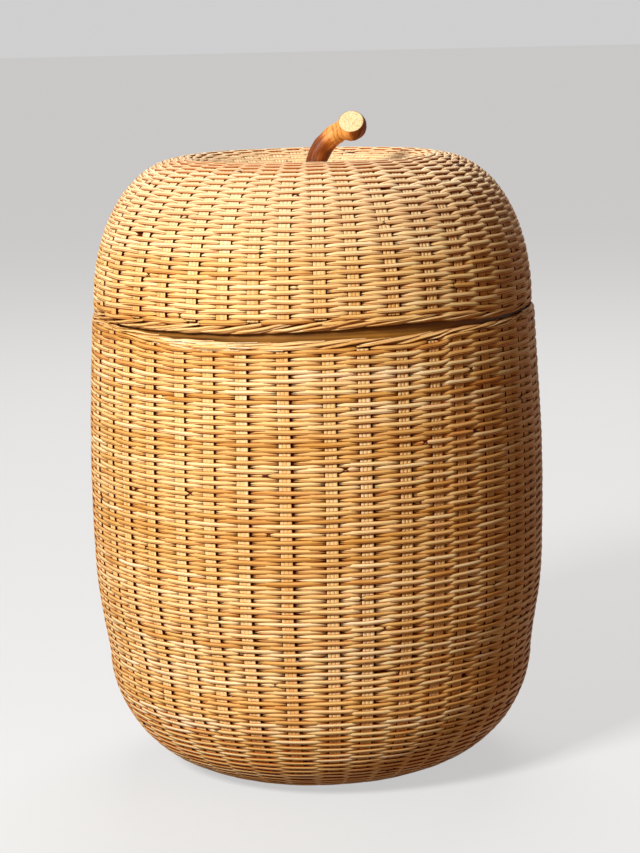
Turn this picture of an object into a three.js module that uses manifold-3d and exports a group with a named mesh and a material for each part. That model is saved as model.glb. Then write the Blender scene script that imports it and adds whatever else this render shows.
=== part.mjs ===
// Lidded apple-shaped basket of round cane, with a bent twig for a stem.
// Millimetres, +Z up. The origin is the middle of the foot, and the front faces -Y.
// The weave itself is drawn as a wall with its true thickness. The stakes lie in grooves of that wall
// and stand a little proud of it, as their columns do in the woven basket.

import * as THREE from 'three';
import { mergeVertices } from 'three/addons/utils/BufferGeometryUtils.js';
import Module from 'manifold-3d';

const wasm = await Module();
wasm.setup();

// Clearances
const fit = 0.3; // between pieces that are woven, tied or laid together
const cutRun = 1; // how far a drill runs past the faces that it goes through
const collarPlay = 0.7; // round the collar, so that the lid slips over it
const grooveDraft = 0.25; // how much wider a stake's groove is at its mouth, on each side

// Cane
const stakeCount = 39; // odd, so that one weaver spirals over and under all the way up
const stakeWidth = 6.2; // three canes side by side
const stakeThickness = 1.8;
const stakeProud = 1.0; // how far the stake columns stand out of the weave
const stakeSpacing = 1.8; // least weave between two stakes where they crowd together
const wallThickness = 3.5; // the weave between the stake columns
const borderHeight = 4.5; // the stake ends, bent over and laid along the edge
const borderLap = 1.1; // how far a bent stake end dives under the next one
const borderRounding = 1.2; // of the border's outer edges
const bodyStakeTurn = 1.9; // degrees from the front's middle to the body's first stake, to the right
const lidStakeTurn = 3.2; // the same for the lid, which was woven by itself

// Body outline, measured over the stakes
const baseRadius = 47.5; // the flat woven disc that the basket stands on
const footBand = 5.9; // level stretch outside the disc, before the wall turns up
const footLift = 0.4; // of that stretch above the disc's underside
const cornerHeight = 59.1;
const cornerRadius = 107.8;
const cornerFullness = 1.93; // 2 would be a true quarter ellipse
const cornerShares = [0.25, 0.5, 0.75]; // of the corner's turn, where the outline has its points
const lowWallHeight = 98;
const lowWallRadius = 113.2;
const bellyHeight = 160;
const bellyRadius = 114;
const rimRadius = 110.9;
const bodyHeight = 229.9;

// Crossed sticks that the base and the lid are started on
const stickCount = 13; // one for every three stakes
const stickThickness = 1.8;
const baseStickWidth = 4;
const baseStickReach = 44.5;
const baseHubRadius = 10;
const lidStickWidth = 2.2;
const lidStickReach = 21;
const lidHubRadius = 9.5;

// Collar: a flat strip bent into a ring inside the mouth, which the lid slips over
const collarThickness = 2.4;
const collarRise = 8.4; // above the body's border
const collarDepth = 12; // below it
const collarLap = 24; // length of the scarf where the strip's two ends meet
const scarfTip = 0.5; // thickness of each end there

// Lid outline, measured over the stakes
const lidInset = 1.04; // of the lid's edge behind the body's
const lidHeight = 73.5;
const crownRadius = 61.9;
const domeFullness = 2.08;
const domeShares = [0, 0.27, 0.52, 0.77]; // of the dome's turn from the lid's edge to the crown
const dimpleDepth = 26.3;
const dimpleShares = [0.35, 0.7, 1]; // of the way from the crown to the dimple's floor
const lidCentreRadius = 24; // woven disc at the bottom of the dimple

// Stem
const stemRadius = 5.2;
const stemNeckRadius = 5; // where the twig meets its head
const stemHeadRadius = 7.4; // the swollen end
const stemTail = 15; // below the top of the dimple's floor
const stemRise = 40.1; // to the middle of the head
const stemLean = 21.2; // of the head to the right
const stemForward = 3; // of the head to the front
const stemBends = [[0, 0], [0.05, 0.29], [0.14, 0.54], [0.32, 0.75], [0.64, 0.91], [1, 1]]; // lean, rise
const stemNeckStart = 0.6; // share of the twig's length from which it thins towards its neck
const stemCut = new THREE.Vector3(-0.1, -0.8, 0.6); // the way that the cut face looks
const stemCutOffset = 4.1; // from the middle of the head to the cut face
const stemSteps = 11;
const stemSides = 10;
const headSides = 12;
const washerRadius = 12;
const washerThickness = 2;
const washerSides = 16;
const pegRadius = 1.5;
const pegLength = 21;
const pegSides = 12;

// Places that follow from the sizes above
const pitchAngle = (2 * Math.PI) / stakeCount;
const columnThickness = stakeProud + wallThickness;
const footRadius = baseRadius + footBand;
const baseThickness = footLift + columnThickness;
const bodyWeaveTop = bodyHeight - borderHeight - fit;
const collarRadius = rimRadius - columnThickness - fit;
const lidRadius = rimRadius - lidInset;
const lidBottom = bodyHeight + collarRise - borderHeight;
const lidWeaveBottom = lidBottom + borderHeight + fit;
const crownHeight = lidBottom + lidHeight;
const dimpleFloor = crownHeight - dimpleDepth;
const lidCentreUnderside = dimpleFloor - columnThickness;
const washerTop = lidCentreUnderside - fit;
const pegHeight = washerTop - washerThickness - fit - pegRadius;

// Finishes
const paleCane = new THREE.MeshStandardMaterial({ color: 0xd9a45b, roughness: 0.55, metalness: 0 });
const weaveCane = new THREE.MeshStandardMaterial({ color: 0xc98d45, roughness: 0.6, metalness: 0 });
const borderCane = new THREE.MeshStandardMaterial({ color: 0xd2a568, roughness: 0.55, metalness: 0 });
const brownCane = new THREE.MeshStandardMaterial({ color: 0x9a6a34, roughness: 0.5, metalness: 0 });
const twigBark = new THREE.MeshStandardMaterial({ color: 0x8a4a1c, roughness: 0.35, metalness: 0 });
const pegWood = new THREE.MeshStandardMaterial({ color: 0xb98a58, roughness: 0.7, metalness: 0 });

// A closed surface made of rings of points that are joined band by band.
class Facets {
  constructor() {
    this.points = [];
    this.corners = [];
  }

  ring(points) {
    const first = this.points.length;
    this.points.push(...points);
    return points.map((point, i) => first + i);
  }

  triangle(a, b, c) {
    this.corners.push(a, b, c);
  }

  // Joins two rings. The strip that starts at the corner named by open is left out.
  band(lower, upper, open = -1) {
    lower.forEach((a, i) => {
      if (i === open) return;
      const next = (i + 1) % lower.length;
      this.triangle(a, lower[next], upper[next]);
      this.triangle(a, upper[next], upper[i]);
    });
  }

  tube(rings) {
    for (let i = 1; i < rings.length; i += 1) {
      this.band(rings[i - 1], rings[i]);
    }
  }

  cap(ring) {
    for (let i = 2; i < ring.length; i += 1) {
      this.triangle(ring[0], ring[i], ring[i - 1]);
    }
  }

  // A cap that faces the other way.
  lid(ring) {
    this.cap([...ring].reverse());
  }

  geometry() {
    const corner = (i) => this.points[this.corners[i]];
    let volume = 0;
    for (let i = 0; i < this.corners.length; i += 3) {
      volume += corner(i).dot(new THREE.Vector3().crossVectors(corner(i + 1), corner(i + 2)));
    }
    const inward = volume < 0;
    const index = inward ? [...this.corners].reverse() : this.corners;
    const result = new THREE.BufferGeometry().setFromPoints(this.points);
    result.setIndex(index);
    return result;
  }
}

// Joining and cutting
function solid(geometry) {
  const bare = geometry.clone();
  bare.deleteAttribute('normal');
  bare.deleteAttribute('uv');
  const merged = mergeVertices(bare, 1e-4);
  const corners = new Uint32Array(merged.index.array);
  const vertProperties = new Float32Array(merged.attributes.position.array);
  return new wasm.Manifold(new wasm.Mesh({ numProp: 3, vertProperties, triVerts: corners }));
}

function geometryOf(manifold) {
  const mesh = manifold.getMesh();
  const result = new THREE.BufferGeometry();
  result.setAttribute('position', new THREE.BufferAttribute(mesh.vertProperties, 3));
  result.setIndex(new THREE.BufferAttribute(mesh.triVerts, 1));
  return result;
}

function named(name, geometry, material) {
  const mesh = new THREE.Mesh(geometry, material);
  mesh.name = name;
  return mesh;
}

// The stations of an outline: points over the stakes, each with the way out of the wall there.
// The outline runs so that the outside is on its right.
function outline(points, firstOut, lastOut) {
  const spots = points.map(([radius, height]) => new THREE.Vector3(radius, 0, height));
  const curve = new THREE.CatmullRomCurve3(spots);
  const stations = points.map(([radius, height], i) => {
    const along = curve.getTangent(i / (points.length - 1));
    return { radius, height, outR: along.z, outZ: -along.x };
  });
  Object.assign(stations[0], { outR: firstOut[0], outZ: firstOut[1] });
  Object.assign(stations.at(-1), { outR: lastOut[0], outZ: lastOut[1] });
  return stations;
}

// The point of a station's section that lies at an angle round the basket and some way into the wall.
function into(station, depth, angle, stretch = 1) {
  const radius = (station.radius - depth * station.outR) * stretch;
  const height = station.height - depth * station.outZ;
  return new THREE.Vector3(radius * Math.cos(angle), radius * Math.sin(angle), height);
}

// Where a stake stands, when the first one is turned some degrees from the front's middle.
function stakeAngle(k, turn) {
  return k * pitchAngle - Math.PI / 2 + THREE.MathUtils.degToRad(turn);
}

// The canes of a stake draw together where the circle is too small for three side by side.
function stakeWidthAt(station) {
  return Math.min(stakeWidth, station.radius * pitchAngle - stakeSpacing);
}

// A woven wall: smooth inside, with a groove for each stake outside.
function wovenWall(stations, turn) {
  const facets = new Facets();
  const insideStretch = 1 / Math.cos(pitchAngle / 2);
  const outer = stations.map((station) => {
    const floor = (stakeWidthAt(station) / 2 + fit) / station.radius;
    const mouth = floor + grooveDraft / station.radius;
    const points = [];
    for (let k = 0; k < stakeCount; k += 1) {
      const middle = stakeAngle(k, turn);
      points.push(into(station, stakeProud, middle - mouth));
      points.push(into(station, stakeThickness + fit, middle - floor));
      points.push(into(station, stakeThickness + fit, middle + floor));
      points.push(into(station, stakeProud, middle + mouth));
    }
    return facets.ring(points);
  });
  const inner = stations.map((station) => {
    const points = [];
    for (let k = 0; k < stakeCount; k += 1) {
      points.push(into(station, columnThickness, stakeAngle(k + 0.5, turn), insideStretch));
    }
    return facets.ring(points);
  });
  facets.tube(outer);
  facets.tube([...inner].reverse());
  wallEdge(facets, outer.at(-1), inner.at(-1), false);
  wallEdge(facets, outer[0], inner[0], true);
  return facets.geometry();
}

// Closes one edge of a woven wall, between its grooved outer ring and its plain inner ring.
function wallEdge(facets, outer, inner, flip) {
  const add = (a, b, c) => (flip ? facets.triangle(a, c, b) : facets.triangle(a, b, c));
  for (let k = 0; k < stakeCount; k += 1) {
    const before = inner[(k + stakeCount - 1) % stakeCount];
    const after = inner[k];
    const [left, floorLeft, floorRight, right] = outer.slice(4 * k, 4 * k + 4);
    const nextLeft = outer[(4 * k + 4) % outer.length];
    add(before, left, floorLeft);
    add(before, floorLeft, after);
    add(after, floorLeft, floorRight);
    add(after, floorRight, right);
    add(after, right, nextLeft);
  }
}

// A stake is a flat ribbon of canes that follows the outline. Each ring holds its four corners at a station.
function stakeRings(stations, angle) {
  const side = new THREE.Vector3(-Math.sin(angle), Math.cos(angle), 0);
  return stations.map((station) => {
    const half = stakeWidthAt(station) / 2;
    const face = into(station, 0, angle);
    const back = into(station, stakeThickness, angle);
    return [
      face.clone().addScaledVector(side, half),
      face.clone().addScaledVector(side, -half),
      back.clone().addScaledVector(side, -half),
      back.clone().addScaledVector(side, half),
    ];
  });
}

function stake(stations, angle) {
  const facets = new Facets();
  const rings = stakeRings(stations, angle).map((points) => facets.ring(points));
  facets.tube(rings);
  facets.cap(rings[0]);
  facets.lid(rings.at(-1));
  return facets.geometry();
}

// A border: the stake ends, bent over and laid along the edge. Each lies on top where its stake comes in
// and dives under the next one. The stakes come in by the face at the height root; free is the other face.
// With an outline, the stakes are part of the piece and follow it.
function border(insideRadius, outsideRadius, root, free, turn, stations) {
  const facets = new Facets();
  const halfStake = stakeWidth / 2 / outsideRadius;
  const inside = insideRadius / Math.cos(pitchAngle / 2 - halfStake);
  const section = (angle, outside) => {
    const corners = [
      [inside, free],
      [outside - borderRounding, free],
      [outside, (root + free) / 2],
      [outsideRadius, root],
      [inside, root],
    ];
    return facets.ring(corners.map(([radius, height]) => {
      return new THREE.Vector3(radius * Math.cos(angle), radius * Math.sin(angle), height);
    }));
  };
  const rootFace = 3;
  const starts = [];
  const ends = [];
  for (let k = 0; k < stakeCount; k += 1) {
    starts.push(section(stakeAngle(k, turn) - halfStake, outsideRadius - borderLap));
    ends.push(section(stakeAngle(k, turn) + halfStake, outsideRadius));
  }
  for (let k = 0; k < stakeCount; k += 1) {
    facets.band(starts[k], ends[k], stations ? rootFace : -1);
    facets.band(ends[k], starts[(k + 1) % stakeCount]);
    if (stations) growStake(facets, starts[k], ends[k], stations, stakeAngle(k, turn));
  }
  return facets.geometry();
}

// Fills the strip left open in a border's root face with the foot of a stake, and raises the stake from it.
function growStake(facets, left, right, stations, angle) {
  const [, , , leftFace, leftInside] = left;
  const [, , , rightFace, rightInside] = right;
  const [foot, ...above] = stakeRings(stations, angle);
  const [leftBack, rightBack] = facets.ring(foot.slice(2));
  facets.triangle(leftFace, leftInside, leftBack);
  facets.triangle(leftInside, rightInside, rightBack);
  facets.triangle(leftInside, rightBack, leftBack);
  facets.triangle(rightInside, rightFace, rightBack);
  const rings = above.map((points) => facets.ring(points));
  facets.tube([[rightFace, leftFace, leftBack, rightBack], ...rings]);
  facets.lid(rings.at(-1));
}

// The collar strip, with its ends thinned and lapped over each other.
function collar() {
  const facets = new Facets();
  const bottom = bodyHeight - collarDepth;
  const top = bodyHeight + collarRise;
  const insideRadius = collarRadius - collarThickness;
  const lapAngle = collarLap / collarRadius;
  const lapSteps = 2;
  const ringSteps = stakeCount - lapSteps;
  const fullTip = collarThickness - fit - scarfTip;
  const section = (angle, inside, outside) => {
    const turned = angle + Math.PI / 2;
    const at = (radius, height) => {
      return new THREE.Vector3(radius * Math.cos(turned), radius * Math.sin(turned), height);
    };
    return facets.ring([at(inside, bottom), at(outside, bottom), at(outside, top), at(inside, top)]);
  };
  const rings = [];
  for (let i = 0; i <= lapSteps; i += 1) {
    const share = i / lapSteps;
    const thickness = scarfTip + (fullTip - scarfTip) * share;
    rings.push(section(lapAngle * share, insideRadius, insideRadius + thickness));
  }
  for (let i = 1; i < ringSteps; i += 1) {
    const angle = lapAngle + ((2 * Math.PI - lapAngle) * i) / ringSteps;
    rings.push(section(angle, insideRadius, collarRadius));
  }
  for (let i = 0; i <= lapSteps; i += 1) {
    const share = i / lapSteps;
    const thickness = fullTip - (fullTip - scarfTip) * share;
    rings.push(section(2 * Math.PI + lapAngle * share, collarRadius - thickness, collarRadius));
  }
  facets.tube(rings);
  facets.cap(rings[0]);
  facets.lid(rings.at(-1));
  return facets.geometry();
}

// Crossed sticks round a hub, drawn as one star. Grow widens it on all sides, for the recess it lies in.
function crossedSticks(width, reach, hubRadius, grow, bottom, depth) {
  const half = width / 2 + grow;
  const hub = hubRadius + grow;
  const spread = Math.asin(half / hub);
  const star = new THREE.Shape();
  for (let k = 0; k < stickCount; k += 1) {
    const angle = (2 * Math.PI * k) / stickCount;
    const along = new THREE.Vector2(Math.cos(angle), Math.sin(angle));
    const side = new THREE.Vector2(-along.y, along.x);
    const tip = along.clone().multiplyScalar(reach + grow);
    const corners = [
      new THREE.Vector2(hub * Math.cos(angle - spread), hub * Math.sin(angle - spread)),
      tip.clone().addScaledVector(side, -half),
      tip.clone().addScaledVector(side, half),
      new THREE.Vector2(hub * Math.cos(angle + spread), hub * Math.sin(angle + spread)),
    ];
    corners.forEach((corner, i) => {
      const first = k === 0 && i === 0;
      if (first) star.moveTo(corner.x, corner.y);
      else star.lineTo(corner.x, corner.y);
    });
  }
  star.closePath();
  const geometry = new THREE.ExtrudeGeometry(star, { depth, bevelEnabled: false });
  return geometry.translate(0, 0, bottom);
}

function upright(radius, bottom, height, sides) {
  const geometry = new THREE.CylinderGeometry(radius, radius, height, sides);
  geometry.rotateX(Math.PI / 2);
  return geometry.translate(0, 0, bottom + height / 2);
}

// What is drilled out of a layer for the stem.
function stemHole(bottom, thickness) {
  return solid(upright(stemRadius + fit, bottom - cutRun, thickness + 2 * cutRun, stickCount));
}

// Outlines
function cornerPoint(share) {
  const turn = (share * Math.PI) / 2;
  const power = 2 / cornerFullness;
  const radius = footRadius + (cornerRadius - footRadius) * Math.sin(turn) ** power;
  const height = footLift + (cornerHeight - footLift) * (1 - Math.cos(turn) ** power);
  return [radius, height];
}

function bodyOutline() {
  const points = [
    [baseRadius + fit, footLift],
    ...cornerShares.map(cornerPoint),
    [cornerRadius, cornerHeight],
    [lowWallRadius, lowWallHeight],
    [bellyRadius, bellyHeight],
    [rimRadius, bodyWeaveTop],
  ];
  return outline(points, [0, -1], [1, 0]);
}

function domePoint(turn) {
  const power = 2 / domeFullness;
  const radius = crownRadius + (lidRadius - crownRadius) * Math.cos(turn) ** power;
  const height = lidBottom + lidHeight * Math.sin(turn) ** power;
  return [radius, height];
}

function dimplePoint(share) {
  const innerRadius = lidCentreRadius + fit;
  const radius = crownRadius + (innerRadius - crownRadius) * share;
  const height = dimpleFloor + dimpleDepth * Math.cos((share * Math.PI) / 2) ** 2;
  return [radius, height];
}

function lidOutline() {
  const start = Math.asin(((lidWeaveBottom - lidBottom) / lidHeight) ** (domeFullness / 2));
  const dome = domeShares.map((share) => start + (Math.PI / 2 - start) * share);
  const points = [
    ...dome.map(domePoint),
    [crownRadius, crownHeight],
    ...dimpleShares.map(dimplePoint),
  ];
  return outline(points, [1, 0], [0, 1]);
}

// Body pieces
function baseCross() {
  const bottom = baseThickness - stickThickness;
  return crossedSticks(baseStickWidth, baseStickReach, baseHubRadius, 0, bottom, stickThickness);
}

function baseWeave() {
  const disc = upright(baseRadius, 0, baseThickness, stakeCount);
  const recessBottom = baseThickness - stickThickness - fit;
  const depth = stickThickness + 2 * fit;
  const recess = crossedSticks(baseStickWidth, baseStickReach, baseHubRadius, fit, recessBottom, depth);
  return geometryOf(solid(disc).subtract(solid(recess)));
}

function bodyBorder() {
  const root = bodyHeight - borderHeight;
  return border(rimRadius - columnThickness, rimRadius, root, bodyHeight, bodyStakeTurn);
}

// Lid pieces
// The lid's stakes are one with its border, because the border is their bent-over ends.
function lidFrame(stations) {
  const root = lidBottom + borderHeight;
  const foot = { radius: lidRadius, height: root, outR: 1, outZ: 0 };
  return border(collarRadius + collarPlay, lidRadius, root, lidBottom, lidStakeTurn, [foot, ...stations]);
}

function lidCentre() {
  const disc = solid(upright(lidCentreRadius, lidCentreUnderside, columnThickness, 2 * stickCount));
  const recessBottom = dimpleFloor - stickThickness - fit;
  const depth = stickThickness + 2 * fit;
  const recess = crossedSticks(lidStickWidth, lidStickReach, lidHubRadius, fit, recessBottom, depth);
  return geometryOf(disc.subtract(solid(recess)).subtract(stemHole(lidCentreUnderside, columnThickness)));
}

function lidCross() {
  const bottom = dimpleFloor - stickThickness;
  const star = crossedSticks(lidStickWidth, lidStickReach, lidHubRadius, 0, bottom, stickThickness);
  return geometryOf(solid(star).subtract(stemHole(bottom, stickThickness)));
}

// A point of the twig's middle line, from its shares of the head's lean and rise.
function stemPoint([lean, rise]) {
  return new THREE.Vector3(stemLean * lean, -stemForward * lean * lean, dimpleFloor + stemRise * rise);
}

// The twig rises straight through the lid, bends over to the right and ends in a swollen head.
function stem() {
  const tail = new THREE.Vector3(0, 0, dimpleFloor - stemTail);
  const path = new THREE.CatmullRomCurve3([tail, ...stemBends.map(stemPoint)]);
  const frames = path.computeFrenetFrames(stemSteps, false);
  const facets = new Facets();
  const rings = [];
  for (let i = 0; i <= stemSteps; i += 1) {
    const share = i / stemSteps;
    const middle = path.getPointAt(share);
    const thinned = Math.max(0, share - stemNeckStart) / (1 - stemNeckStart);
    const radius = stemRadius + (stemNeckRadius - stemRadius) * thinned;
    const points = [];
    for (let j = 0; j < stemSides; j += 1) {
      const angle = (2 * Math.PI * j) / stemSides;
      const point = middle.clone();
      point.addScaledVector(frames.normals[i], radius * Math.cos(angle));
      point.addScaledVector(frames.binormals[i], radius * Math.sin(angle));
      points.push(point);
    }
    rings.push(facets.ring(points));
  }
  facets.tube(rings);
  facets.cap(rings[0]);
  facets.lid(rings.at(-1));
  const head = new THREE.SphereGeometry(stemHeadRadius, headSides, headSides / 2);
  head.translate(...stemPoint([1, 1]));
  const twig = solid(facets.geometry()).add(solid(head));
  return geometryOf(twig.subtract(solid(crossPin(pegRadius + fit))).subtract(solid(stemWaste())));
}

// What the slanting cut takes off the head.
function stemWaste() {
  const size = stemRise;
  const block = new THREE.BoxGeometry(size, size, size);
  block.translate(0, 0, size / 2 + stemCutOffset);
  const upward = new THREE.Vector3(0, 0, 1);
  block.applyQuaternion(new THREE.Quaternion().setFromUnitVectors(upward, stemCut.clone().normalize()));
  return block.translate(...stemPoint([1, 1]));
}

// A round pin that lies across the twig, under the washer.
function crossPin(radius) {
  const pin = new THREE.CylinderGeometry(radius, radius, pegLength, pegSides);
  return pin.rotateZ(Math.PI / 2).translate(0, 0, pegHeight);
}

function stemWasher() {
  const inside = stemRadius + fit;
  const bottom = washerTop - washerThickness;
  const profile = [
    new THREE.Vector2(inside, bottom),
    new THREE.Vector2(washerRadius, bottom),
    new THREE.Vector2(washerRadius, washerTop),
    new THREE.Vector2(inside, washerTop),
    new THREE.Vector2(inside, bottom),
  ];
  return new THREE.LatheGeometry(profile, washerSides).rotateX(Math.PI / 2);
}

// Assembly
const body = new THREE.Group();
const bodyStations = bodyOutline();
body.add(named('base_cross', baseCross(), paleCane));
body.add(named('base_weave', baseWeave(), weaveCane));
body.add(named('body_weave', wovenWall(bodyStations, bodyStakeTurn), weaveCane));
for (let k = 0; k < stakeCount; k += 1) {
  const number = String(k + 1).padStart(2, '0');
  const geometry = stake(bodyStations, stakeAngle(k, bodyStakeTurn));
  body.add(named(`body_stake_${number}`, geometry, paleCane));
}
body.add(named('body_border', bodyBorder(), borderCane));
body.add(named('collar_hoop', collar(), brownCane));

const lid = new THREE.Group();
const lidStations = lidOutline();
lid.add(named('lid_weave', wovenWall(lidStations, lidStakeTurn), weaveCane));
lid.add(named('lid_frame', lidFrame(lidStations), borderCane));
lid.add(named('lid_centre', lidCentre(), weaveCane));
lid.add(named('lid_cross', lidCross(), paleCane));
lid.add(named('stem', stem(), twigBark));
lid.add(named('stem_washer', stemWasher(), brownCane));
lid.add(named('stem_peg', crossPin(pegRadius), pegWood));

const basket = new THREE.Group();
basket.add(body, lid);

export default basket;
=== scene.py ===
import random
from math import atan2, cos, degrees, pi, radians, sin, sqrt, tau

import bmesh
import bpy
from mathutils import Matrix, Vector, noise


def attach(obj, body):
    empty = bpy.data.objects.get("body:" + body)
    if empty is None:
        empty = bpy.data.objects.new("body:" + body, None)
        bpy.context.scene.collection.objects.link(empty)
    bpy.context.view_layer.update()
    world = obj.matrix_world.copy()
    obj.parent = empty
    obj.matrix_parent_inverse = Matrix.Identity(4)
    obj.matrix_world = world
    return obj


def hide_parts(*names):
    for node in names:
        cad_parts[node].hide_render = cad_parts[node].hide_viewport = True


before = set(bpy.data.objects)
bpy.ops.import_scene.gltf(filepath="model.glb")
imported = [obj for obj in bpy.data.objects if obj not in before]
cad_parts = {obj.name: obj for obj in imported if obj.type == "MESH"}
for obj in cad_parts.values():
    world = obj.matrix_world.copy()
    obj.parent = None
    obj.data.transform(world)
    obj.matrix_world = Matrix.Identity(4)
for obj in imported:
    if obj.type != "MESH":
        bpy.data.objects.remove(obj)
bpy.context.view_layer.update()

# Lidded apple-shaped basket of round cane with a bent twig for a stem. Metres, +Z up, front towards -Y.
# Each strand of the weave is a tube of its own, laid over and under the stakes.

# The photograph's point of view
PICTURE_HEIGHT = 853
LENS_IN_PIXELS = 2475.0
SENSOR = 36.0
CAMERA_PLACE = Vector((0.0021, -1.2365, 0.3800))
CAMERA_DIP = 0.1683
CAMERA_ROLL = 0.0223

# Cane
STAKES = 39
STAKE_CANES = 3
STAKE_WIDTH = 0.0058
STAKE_SHARE = 0.62  # most of the space from stake to stake that a stake takes up
STAKE_THICKNESS = 0.0009
WEAVER_THICKNESS = 0.0009
WALL_THICKNESS = 0.0045  # with the room that the strands take up inside
BORDER_HEIGHT = 0.0045
BORDER_CANE = 0.0015
BORDER_STEP = 0.0009  # by which a border's free edge lies behind its root
WEAVE_GAP = 0.0003  # between a border and the last row
EDGE_ROOM = 0.0040  # of the outline past each edge at the seam, where the edge may stray to
EDGE_REACH = 0.0300  # how far into the weave a stray edge pulls the rows along
BORDER_BED = 0.0008  # between a wall's inner face and the deepest strands of its border
STAKES_PASSED = 2.9  # by a stake's end on its way along the border
SWING = 0.0012  # of a weaver to each side, on its way over and under the stakes
LEAN = 0.035  # of the space between stakes by which a weaver goes over and under late
WANDER = 0.0018  # sideways drift of the strands from place to place
SWELL = 0.0012  # their drift in and out

# Body outline, measured over the weavers
BASE_RADIUS = 0.0475
FOOT_RADIUS = 0.0534
FOOT_LIFT = 0.0004
CORNER_RADIUS = 0.1078
CORNER_HEIGHT = 0.0591
CORNER_FULLNESS = 1.93
LOW_WALL = (0.1132, 0.0980)
BELLY = (0.1140, 0.1600)
RIM_RADIUS = 0.1109
BODY_HEIGHT = 0.2299
MOUTH_SLOPE = 0.07  # inwards, past the rim
BODY_ROWS = 134
BODY_GROWTH = 0.06  # share by which the rows are higher than their mean at the end, and lower at the start

# Lid outline, measured over the weavers
LID_RADIUS = 0.10986
LID_BOTTOM = 0.2338
LID_HEIGHT = 0.0735
CROWN_RADIUS = 0.0619
DOME_FULLNESS = 2.08
DIMPLE_DEPTH = 0.0263
LID_CENTRE_RADIUS = 0.0240
LID_ROWS = 70
LID_GROWTH = -0.065
LID_BORDER_THICKNESS = 0.0030

# Discs in the middle of the base and of the lid
STICKS = 13
STICK_ROOM = 0.0009  # that the base disc is hollowed up from the ground
BASE_HUB = 0.0080
BASE_ROWS = 20
BASE_STICK = 0.0040
STICK_SHORT = 0.0015  # that the base sticks end before the disc's edge
LID_HUB = 0.0095
LID_CENTRE_ROWS = 7
LID_STICK = 0.0024
STICK_INSET = 0.0005  # that the lid's sticks start inside the disc's edge
LID_RISE = 0.0006  # of the lid's disc above the dimple's floor
HUB_HOLE = 0.0009  # from a hub's innermost row to the middle, or to the stem
COIL_APART = 0.0011  # of a hub's two coils from the middle of the weave
BASE_WANDER = 0.0010
CENTRE_WANDER = 0.0006
DISC_SWELL = 0.0004

# Collar inside the mouth
COLLAR_RADIUS = 0.1061
COLLAR_THICKNESS = 0.0024
COLLAR_DEPTH = 0.0120
COLLAR_RISE = 0.0084
COLLAR_LAP = 0.0240
SCARF_TIP = 0.0005
SOFT_EDGE = 0.0005
COLLAR_BULGE = 0.00015
STITCHES = 13
STITCH_RADIUS = 0.00045
STITCH_SLANT = 0.0024
STITCH_CROSSING = 0.0007  # of one stitch over the other
STITCH_STOPS = (  # outwards from the inner face, and up from the lower edge
    (0.0046, -0.0020), (0.0010, -0.0014), (-0.0007, 0.0006),
    (-0.0009, 0.0050), (-0.0004, 0.0078), (0.0014, 0.0086),
)

# Stem
STEM_RADIUS = 0.0052
STEM_NECK_RADIUS = 0.0050
STEM_HEAD_RADIUS = 0.0074
STEM_TAIL = 0.0150
STEM_RISE = 0.0401
STEM_LEAN = 0.0212
STEM_FORWARD = 0.0030
STEM_BENDS = ((0, 0), (0.05, 0.29), (0.14, 0.54), (0.32, 0.75), (0.64, 0.91), (1, 1))
STEM_NECK_START = 0.6  # share of the way along
STEM_FOLDS = (0.86, 0.16)  # share of the way to the middle of the wrinkles, and how far they reach from it
STEM_SKIN = 0.00035  # size of the cells that the twig and its head are melted in
BARK_RIDGE = 0.00030
BARK_FOLD = 0.00036
BARK_KNOB = 0.00022
STEM_CUT = Vector((-0.1, -0.8, 0.6)).normalized()
STEM_CUT_OFFSET = 0.0041
WASHER_RADIUS = 0.0120
WASHER_THICKNESS = 0.0020
PEG_RADIUS = 0.0015
PEG_LENGTH = 0.0210
PEG_TAPER = 0.12  # share of its radius that the peg gets thinner by towards its ends
PEG_BLUNT = 0.06  # share of its half length that the ends are rounded over

# Hand work. Stakes are numbered from the front, counter-clockwise seen from above.
BODY_STAKE_TURN = 1.9  # degrees
LID_STAKE_TURN = 3.2
FIRST_SHIFTED = -6
FREE_SHIFT = 1.2  # degrees at most, for the stakes that the photograph doesn't show
BODY_SHIFTS = (-0.9, -0.3, 0.2, -0.8, -1.3, -0.2, 1.4, 0.6, 1.3, 0.8, -1.3, -1.0)  # degrees
LID_SHIFTS = (1.6, 1.9, 2.1, 1.5, 0.4, -1.2, -1.3, -2.1, -1.5, -0.2, 0.2, -0.9, -0.5)

# How far the edges beside the seam stray upwards, in millimetres, at degrees from the front
RIM_LIFTS = (
    (-140, 0.0), (-100, 0.8), (-75, 1.3), (-62, 0.9), (-52, -0.3),
    (-41, -1.3), (-22, -2.4), (-4, -2.0), (6, -1.5), (21, -1.3), (35, 0.0),
    (49, -0.1), (62, 0.8), (80, 1.5), (100, 1.2), (140, 0.3), (180, 0.0),
)
LID_LIFTS = (
    (-180, 0.0), (-140, -0.3), (-100, -1.4), (-75, -2.7), (-62, -2.8), (-54, -2.3),
    (-41, -2.8), (-20, -2.3), (-2, -1.4), (9, -0.4), (19, 0.1), (32, 0.5),
    (49, -1.5), (62, -1.3), (80, -1.0), (100, -0.8), (140, -0.3), (180, 0.0),
)

# How far the rows beside a border crowd into it, counted in the same way
RIM_LAPS = (
    (-110, 0.0), (-90, 2.2), (-52, 2.4), (-38, 0.0),
    (26, 0.0), (42, 2.6), (90, 2.2), (110, 0.0),
)
LID_LAPS = (
    (-110, 0.0), (-90, -1.4), (-60, -1.6), (-44, 0.0),
    (44, 0.0), (56, -1.6), (90, -1.4), (110, 0.0),
)

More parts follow.
